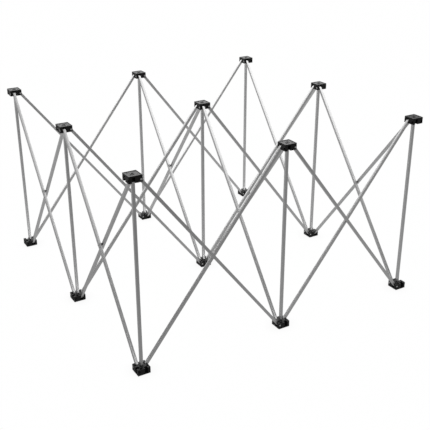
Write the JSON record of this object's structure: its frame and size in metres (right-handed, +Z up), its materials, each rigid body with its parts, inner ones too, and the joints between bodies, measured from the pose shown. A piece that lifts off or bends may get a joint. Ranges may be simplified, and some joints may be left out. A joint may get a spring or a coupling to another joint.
{
  "type": "folding scissor display frame",
  "caption": "Folding scissor frame of crossed square tubes and telescopic posts between black square hubs, standing free as a table-height support or booth frame.",
  "frame": {"origin": "on the floor under the centre post, the middle of the square that the nine feet stand on", "axes": "+Z up, +X to the right along the frame's width, -Y towards its front"},
  "size_m": [1.27, 1.27, 0.762],
  "materials": {
    "satin_tube": "satin square tube, taken from its look to be anodised aluminium, with fine lengthwise drawing lines; its pins and rivets are bright plated",
    "black_moulding": "black moulding, taken from its look to be glass-filled nylon, with a fine texture and a soft sheen"
  },
  "bodies": {
    "foot_front_left": {"foot_hub_front_left": "black_moulding", "lower_post_front_left": "satin_tube"},
    "top_front_left": {"top_hub_front_left": "black_moulding", "upper_post_front_left": "satin_tube"},
    "foot_front_middle": {"foot_hub_front_middle": "black_moulding", "lower_post_front_middle": "satin_tube"},
    "top_front_middle": {"top_hub_front_middle": "black_moulding", "upper_post_front_middle": "satin_tube"},
    "foot_front_right": {"foot_hub_front_right": "black_moulding", "lower_post_front_right": "satin_tube"},
    "top_front_right": {"top_hub_front_right": "black_moulding", "upper_post_front_right": "satin_tube"},
    "foot_middle_left": {"foot_hub_middle_left": "black_moulding", "lower_post_middle_left": "satin_tube"},
    "top_middle_left": {"top_hub_middle_left": "black_moulding", "upper_post_middle_left": "satin_tube"},
    "foot_centre": {"foot_hub_centre": "black_moulding", "lower_post_centre": "satin_tube"},
    "top_centre": {"top_hub_centre": "black_moulding", "upper_post_centre": "satin_tube"},
    "foot_middle_right": {"foot_hub_middle_right": "black_moulding", "lower_post_middle_right": "satin_tube"},
    "top_middle_right": {"top_hub_middle_right": "black_moulding", "upper_post_middle_right": "satin_tube"},
    "foot_back_left": {"foot_hub_back_left": "black_moulding", "lower_post_back_left": "satin_tube"},
    "top_back_left": {"top_hub_back_left": "black_moulding", "upper_post_back_left": "satin_tube"},
    "foot_back_middle": {"foot_hub_back_middle": "black_moulding", "lower_post_back_middle": "satin_tube"},
    "top_back_middle": {"top_hub_back_middle": "black_moulding", "upper_post_back_middle": "satin_tube"},
    "foot_back_right": {"foot_hub_back_right": "black_moulding", "lower_post_back_right": "satin_tube"},
    "top_back_right": {"top_hub_back_right": "black_moulding", "upper_post_back_right": "satin_tube"},
    "width_strut_front_left_rising": {"width_strut_front_left_rising": "satin_tube"},
    "width_strut_front_left_falling": {"width_strut_front_left_falling": "satin_tube"},
    "width_strut_front_right_rising": {"width_strut_front_right_rising": "satin_tube"},
    "width_strut_front_right_falling": {"width_strut_front_right_falling": "satin_tube"},
    "width_strut_middle_left_rising": {"width_strut_middle_left_rising": "satin_tube"},
    "width_strut_middle_left_falling": {"width_strut_middle_left_falling": "satin_tube"},
    "width_strut_middle_right_rising": {"width_strut_middle_right_rising": "satin_tube"},
    "width_strut_middle_right_falling": {"width_strut_middle_right_falling": "satin_tube"},
    "width_strut_back_left_rising": {"width_strut_back_left_rising": "satin_tube"},
    "width_strut_back_left_falling": {"width_strut_back_left_falling": "satin_tube"},
    "width_strut_back_right_rising": {"width_strut_back_right_rising": "satin_tube"},
    "width_strut_back_right_falling": {"width_strut_back_right_falling": "satin_tube"},
    "depth_strut_left_front_rising": {"depth_strut_left_front_rising": "satin_tube"},
    "depth_strut_left_front_falling": {"depth_strut_left_front_falling": "satin_tube"},
    "depth_strut_left_back_rising": {"depth_strut_left_back_rising": "satin_tube"},
    "depth_strut_left_back_falling": {"depth_strut_left_back_falling": "satin_tube"},
    "depth_strut_middle_front_rising": {"depth_strut_middle_front_rising": "satin_tube"},
    "depth_strut_middle_front_falling": {"depth_strut_middle_front_falling": "satin_tube"},
    "depth_strut_middle_back_rising": {"depth_strut_middle_back_rising": "satin_tube"},
    "depth_strut_middle_back_falling": {"depth_strut_middle_back_falling": "satin_tube"},
    "depth_strut_right_front_rising": {"depth_strut_right_front_rising": "satin_tube"},
    "depth_strut_right_front_falling": {"depth_strut_right_front_falling": "satin_tube"},
    "depth_strut_right_back_rising": {"depth_strut_right_back_rising": "satin_tube"},
    "depth_strut_right_back_falling": {"depth_strut_right_back_falling": "satin_tube"}
  },
  "joints": [
    {"name": "fold", "type": "hinge", "parent": "foot_centre", "child": "width_strut_middle_right_rising", "pos_m": [0.0195, 0.008, 0.016], "axis": [0, -1, 0], "range_deg": [0, 37.1]},
    {"name": "width_strut_middle_left_falling_pivot", "type": "hinge", "parent": "foot_centre", "child": "width_strut_middle_left_falling", "pos_m": [-0.0195, -0.008, 0.016], "axis": [0, 1, 0], "range_deg": [0, 37.1]},
    {"name": "depth_strut_middle_front_falling_pivot", "type": "hinge", "parent": "foot_centre", "child": "depth_strut_middle_front_falling", "pos_m": [0.008, -0.0195, 0.016], "axis": [-1, 0, 0], "range_deg": [0, 37.1]},
    {"name": "depth_strut_middle_back_rising_pivot", "type": "hinge", "parent": "foot_centre", "child": "depth_strut_middle_back_rising", "pos_m": [-0.008, 0.0195, 0.016], "axis": [1, 0, 0], "range_deg": [0, 37.1]},
    {"name": "top_middle_right_pivot", "type": "hinge", "parent": "width_strut_middle_right_rising", "child": "top_middle_right", "pos_m": [0.5905, 0.008, 0.746], "axis": [0, 1, 0], "range_deg": [0, 37.1]},
    {"name": "width_strut_middle_right_falling_rivet", "type": "hinge", "parent": "width_strut_middle_right_rising", "child": "width_strut_middle_right_falling", "pos_m": [0.305, 0, 0.381], "axis": [0, 1, 0], "range_deg": [0, 74.2]},
    {"name": "top_middle_left_pivot", "type": "hinge", "parent": "width_strut_middle_left_falling", "child": "top_middle_left", "pos_m": [-0.5905, -0.008, 0.746], "axis": [0, -1, 0], "range_deg": [0, 37.1]},
    {"name": "width_strut_middle_left_rising_rivet", "type": "hinge", "parent": "width_strut_middle_left_falling", "child": "width_strut_middle_left_rising", "pos_m": [-0.305, 0, 0.381], "axis": [0, -1, 0], "range_deg": [0, 74.2]},
    {"name": "top_front_middle_pivot", "type": "hinge", "parent": "depth_strut_middle_front_falling", "child": "top_front_middle", "pos_m": [0.008, -0.5905, 0.746], "axis": [1, 0, 0], "range_deg": [0, 37.1]},
    {"name": "depth_strut_middle_front_rising_rivet", "type": "hinge", "parent": "depth_strut_middle_front_falling", "child": "depth_strut_middle_front_rising", "pos_m": [0, -0.305, 0.381], "axis": [1, 0, 0], "range_deg": [0, 74.2]},
    {"name": "top_back_middle_pivot", "type": "hinge", "parent": "depth_strut_middle_back_rising", "child": "top_back_middle", "pos_m": [-0.008, 0.5905, 0.746], "axis": [-1, 0, 0], "range_deg": [0, 37.1]},
    {"name": "depth_strut_middle_back_falling_rivet", "type": "hinge", "parent": "depth_strut_middle_back_rising", "child": "depth_strut_middle_back_falling", "pos_m": [0, 0.305, 0.381], "axis": [-1, 0, 0], "range_deg": [0, 74.2]},
    {"name": "depth_strut_right_front_rising_pivot", "type": "hinge", "parent": "top_middle_right", "child": "depth_strut_right_front_rising", "pos_m": [0.602, -0.0195, 0.746], "axis": [1, 0, 0], "range_deg": [0, 37.1]},
    {"name": "depth_strut_right_back_falling_pivot", "type": "hinge", "parent": "top_middle_right", "child": "depth_strut_right_back_falling", "pos_m": [0.618, 0.0195, 0.746], "axis": [-1, 0, 0], "range_deg": [0, 37.1]},
    {"name": "top_centre_pivot", "type": "hinge", "parent": "width_strut_middle_right_falling", "child": "top_centre", "pos_m": [0.0195, -0.008, 0.746], "axis": [0, -1, 0], "range_deg": [0, 37.1]},
    {"name": "foot_middle_right_pivot", "type": "hinge", "parent": "width_strut_middle_right_falling", "child": "foot_middle_right", "pos_m": [0.5905, -0.008, 0.016], "axis": [0, -1, 0], "range_deg": [0, 37.1]},
    {"name": "depth_strut_left_front_rising_pivot", "type": "hinge", "parent": "top_middle_left", "child": "depth_strut_left_front_rising", "pos_m": [-0.618, -0.0195, 0.746], "axis": [1, 0, 0], "range_deg": [0, 37.1]},
    {"name": "depth_strut_left_back_falling_pivot", "type": "hinge", "parent": "top_middle_left", "child": "depth_strut_left_back_falling", "pos_m": [-0.602, 0.0195, 0.746], "axis": [-1, 0, 0], "range_deg": [0, 37.1]},
    {"name": "foot_middle_left_pivot", "type": "hinge", "parent": "width_strut_middle_left_rising", "child": "foot_middle_left", "pos_m": [-0.5905, 0.008, 0.016], "axis": [0, 1, 0], "range_deg": [0, 37.1]},
    {"name": "width_strut_front_left_rising_pivot", "type": "hinge", "parent": "top_front_middle", "child": "width_strut_front_left_rising", "pos_m": [-0.0195, -0.602, 0.746], "axis": [0, -1, 0], "range_deg": [0, 37.1]},
    {"name": "width_strut_front_right_falling_pivot", "type": "hinge", "parent": "top_front_middle", "child": "width_strut_front_right_falling", "pos_m": [0.0195, -0.618, 0.746], "axis": [0, 1, 0], "range_deg": [0, 37.1]},
    {"name": "foot_front_middle_pivot", "type": "hinge", "parent": "depth_strut_middle_front_rising", "child": "foot_front_middle", "pos_m": [-0.008, -0.5905, 0.016], "axis": [-1, 0, 0], "range_deg": [0, 37.1]},
    {"name": "width_strut_back_left_rising_pivot", "type": "hinge", "parent": "top_back_middle", "child": "width_strut_back_left_rising", "pos_m": [-0.0195, 0.618, 0.746], "axis": [0, -1, 0], "range_deg": [0, 37.1]},
    {"name": "width_strut_back_right_falling_pivot", "type": "hinge", "parent": "top_back_middle", "child": "width_strut_back_right_falling", "pos_m": [0.0195, 0.602, 0.746], "axis": [0, 1, 0], "range_deg": [0, 37.1]},
    {"name": "foot_back_middle_pivot", "type": "hinge", "parent": "depth_strut_middle_back_falling", "child": "foot_back_middle", "pos_m": [0.008, 0.5905, 0.016], "axis": [1, 0, 0], "range_deg": [0, 37.1]},
    {"name": "foot_front_right_pivot", "type": "hinge", "parent": "depth_strut_right_front_rising", "child": "foot_front_right", "pos_m": [0.602, -0.5905, 0.016], "axis": [-1, 0, 0], "range_deg": [0, 37.1]},
    {"name": "depth_strut_right_front_falling_rivet", "type": "hinge", "parent": "depth_strut_right_front_rising", "child": "depth_strut_right_front_falling", "pos_m": [0.61, -0.305, 0.381], "axis": [-1, 0, 0], "range_deg": [0, 74.2]},
    {"name": "foot_back_right_pivot", "type": "hinge", "parent": "depth_strut_right_back_falling", "child": "foot_back_right", "pos_m": [0.618, 0.5905, 0.016], "axis": [1, 0, 0], "range_deg": [0, 37.1]},
    {"name": "depth_strut_right_back_rising_rivet", "type": "hinge", "parent": "depth_strut_right_back_falling", "child": "depth_strut_right_back_rising", "pos_m": [0.61, 0.305, 0.381], "axis": [1, 0, 0], "range_deg": [0, 74.2]},
    {"name": "foot_front_left_pivot", "type": "hinge", "parent": "depth_strut_left_front_rising", "child": "foot_front_left", "pos_m": [-0.618, -0.5905, 0.016], "axis": [-1, 0, 0], "range_deg": [0, 37.1]},
    {"name": "depth_strut_left_front_falling_rivet", "type": "hinge", "parent": "depth_strut_left_front_rising", "child": "depth_strut_left_front_falling", "pos_m": [-0.61, -0.305, 0.381], "axis": [-1, 0, 0], "range_deg": [0, 74.2]},
    {"name": "foot_back_left_pivot", "type": "hinge", "parent": "depth_strut_left_back_falling", "child": "foot_back_left", "pos_m": [-0.602, 0.5905, 0.016], "axis": [1, 0, 0], "range_deg": [0, 37.1]},
    {"name": "depth_strut_left_back_rising_rivet", "type": "hinge", "parent": "depth_strut_left_back_falling", "child": "depth_strut_left_back_rising", "pos_m": [-0.61, 0.305, 0.381], "axis": [1, 0, 0], "range_deg": [0, 74.2]},
    {"name": "width_strut_front_left_falling_rivet", "type": "hinge", "parent": "width_strut_front_left_rising", "child": "width_strut_front_left_falling", "pos_m": [-0.305, -0.61, 0.381], "axis": [0, 1, 0], "range_deg": [0, 74.2]},
    {"name": "width_strut_front_right_rising_rivet", "type": "hinge", "parent": "width_strut_front_right_falling", "child": "width_strut_front_right_rising", "pos_m": [0.305, -0.61, 0.381], "axis": [0, -1, 0], "range_deg": [0, 74.2]},
    {"name": "width_strut_back_left_falling_rivet", "type": "hinge", "parent": "width_strut_back_left_rising", "child": "width_strut_back_left_falling", "pos_m": [-0.305, 0.61, 0.381], "axis": [0, 1, 0], "range_deg": [0, 74.2]},
    {"name": "width_strut_back_right_rising_rivet", "type": "hinge", "parent": "width_strut_back_right_falling", "child": "width_strut_back_right_rising", "pos_m": [0.305, 0.61, 0.381], "axis": [0, -1, 0], "range_deg": [0, 74.2]},
    {"name": "top_front_right_pivot", "type": "hinge", "parent": "depth_strut_right_front_falling", "child": "top_front_right", "pos_m": [0.618, -0.5905, 0.746], "axis": [1, 0, 0], "range_deg": [0, 37.1]},
    {"name": "top_back_right_pivot", "type": "hinge", "parent": "depth_strut_right_back_rising", "child": "top_back_right", "pos_m": [0.602, 0.5905, 0.746], "axis": [-1, 0, 0], "range_deg": [0, 37.1]},
    {"name": "top_front_left_pivot", "type": "hinge", "parent": "depth_strut_left_front_falling", "child": "top_front_left", "pos_m": [-0.602, -0.5905, 0.746], "axis": [1, 0, 0], "range_deg": [0, 37.1]},
    {"name": "top_back_left_pivot", "type": "hinge", "parent": "depth_strut_left_back_rising", "child": "top_back_left", "pos_m": [-0.618, 0.5905, 0.746], "axis": [-1, 0, 0], "range_deg": [0, 37.1]}
  ],
  "couplings": [
    {"joint": "width_strut_middle_left_falling_pivot", "follows": "fold", "ratio": 1},
    {"joint": "depth_strut_middle_front_falling_pivot", "follows": "fold", "ratio": 1},
    {"joint": "depth_strut_middle_back_rising_pivot", "follows": "fold", "ratio": 1},
    {"joint": "top_middle_right_pivot", "follows": "fold", "ratio": 1},
    {"joint": "width_strut_middle_right_falling_rivet", "follows": "fold", "ratio": 2},
    {"joint": "top_middle_left_pivot", "follows": "fold", "ratio": 1},
    {"joint": "width_strut_middle_left_rising_rivet", "follows": "fold", "ratio": 2},
    {"joint": "top_front_middle_pivot", "follows": "fold", "ratio": 1},
    {"joint": "depth_strut_middle_front_rising_rivet", "follows": "fold", "ratio": 2},
    {"joint": "top_back_middle_pivot", "follows": "fold", "ratio": 1},
    {"joint": "depth_strut_middle_back_falling_rivet", "follows": "fold", "ratio": 2},
    {"joint": "depth_strut_right_front_rising_pivot", "follows": "fold", "ratio": 1},
    {"joint": "depth_strut_right_back_falling_pivot", "follows": "fold", "ratio": 1},
    {"joint": "top_centre_pivot", "follows": "fold", "ratio": 1},
    {"joint": "foot_middle_right_pivot", "follows": "fold", "ratio": 1},
    {"joint": "depth_strut_left_front_rising_pivot", "follows": "fold", "ratio": 1},
    {"joint": "depth_strut_left_back_falling_pivot", "follows": "fold", "ratio": 1},
    {"joint": "foot_middle_left_pivot", "follows": "fold", "ratio": 1},
    {"joint": "width_strut_front_left_rising_pivot", "follows": "fold", "ratio": 1},
    {"joint": "width_strut_front_right_falling_pivot", "follows": "fold", "ratio": 1},
    {"joint": "foot_front_middle_pivot", "follows": "fold", "ratio": 1},
    {"joint": "width_strut_back_left_rising_pivot", "follows": "fold", "ratio": 1},
    {"joint": "width_strut_back_right_falling_pivot", "follows": "fold", "ratio": 1},
    {"joint": "foot_back_middle_pivot", "follows": "fold", "ratio": 1},
    {"joint": "foot_front_right_pivot", "follows": "fold", "ratio": 1},
    {"joint": "depth_strut_right_front_falling_rivet", "follows": "fold", "ratio": 2},
    {"joint": "foot_back_right_pivot", "follows": "fold", "ratio": 1},
    {"joint": "depth_strut_right_back_rising_rivet", "follows": "fold", "ratio": 2},
    {"joint": "foot_front_left_pivot", "follows": "fold", "ratio": 1},
    {"joint": "depth_strut_left_front_falling_rivet", "follows": "fold", "ratio": 2},
    {"joint": "foot_back_left_pivot", "follows": "fold", "ratio": 1},
    {"joint": "depth_strut_left_back_rising_rivet", "follows": "fold", "ratio": 2},
    {"joint": "width_strut_front_left_falling_rivet", "follows": "fold", "ratio": 2},
    {"joint": "width_strut_front_right_rising_rivet", "follows": "fold", "ratio": 2},
    {"joint": "width_strut_back_left_falling_rivet", "follows": "fold", "ratio": 2},
    {"joint": "width_strut_back_right_rising_rivet", "follows": "fold", "ratio": 2},
    {"joint": "top_front_right_pivot", "follows": "fold", "ratio": 1},
    {"joint": "top_back_right_pivot", "follows": "fold", "ratio": 1},
    {"joint": "top_front_left_pivot", "follows": "fold", "ratio": 1},
    {"joint": "top_back_left_pivot", "follows": "fold", "ratio": 1}
  ]
}
